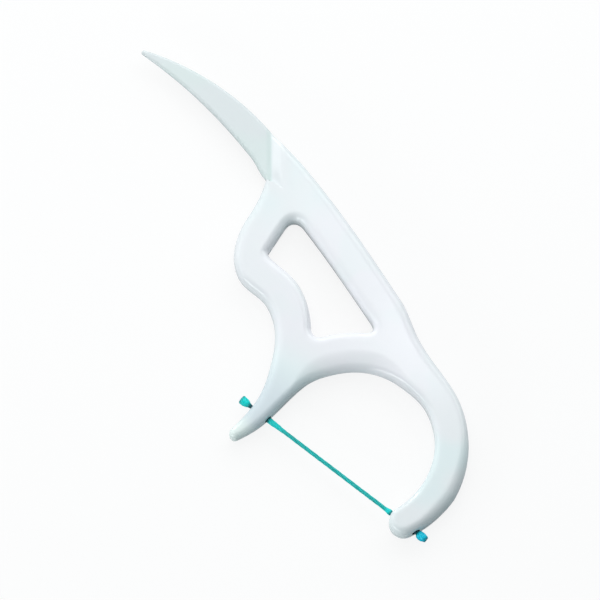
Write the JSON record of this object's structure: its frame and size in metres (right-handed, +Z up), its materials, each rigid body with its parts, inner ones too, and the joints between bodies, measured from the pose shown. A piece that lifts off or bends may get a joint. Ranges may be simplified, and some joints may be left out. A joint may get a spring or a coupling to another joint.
{
  "type": "floss pick",
  "caption": "Moulded floss pick: a bow that holds a taut strand of floss, a finger grip round a slanted window and a curved toothpick tail.",
  "frame": {"origin": "centre of the footprint of the whole pick, on the plane that its back face lies on", "axes": "+X from the toothpick tail to the bow, +Y towards the spine, +Z up through the thickness"},
  "size_m": [0.077, 0.0286, 0.0034],
  "materials": {
    "white_plastic": "glossy moulded white with a faint cool tint",
    "teal_floss": "waxed multifilament strand, turquoise"
  },
  "bodies": {
    "root": {"handle": "white_plastic", "floss_strand": "teal_floss"}
  },
  "joints": []
}
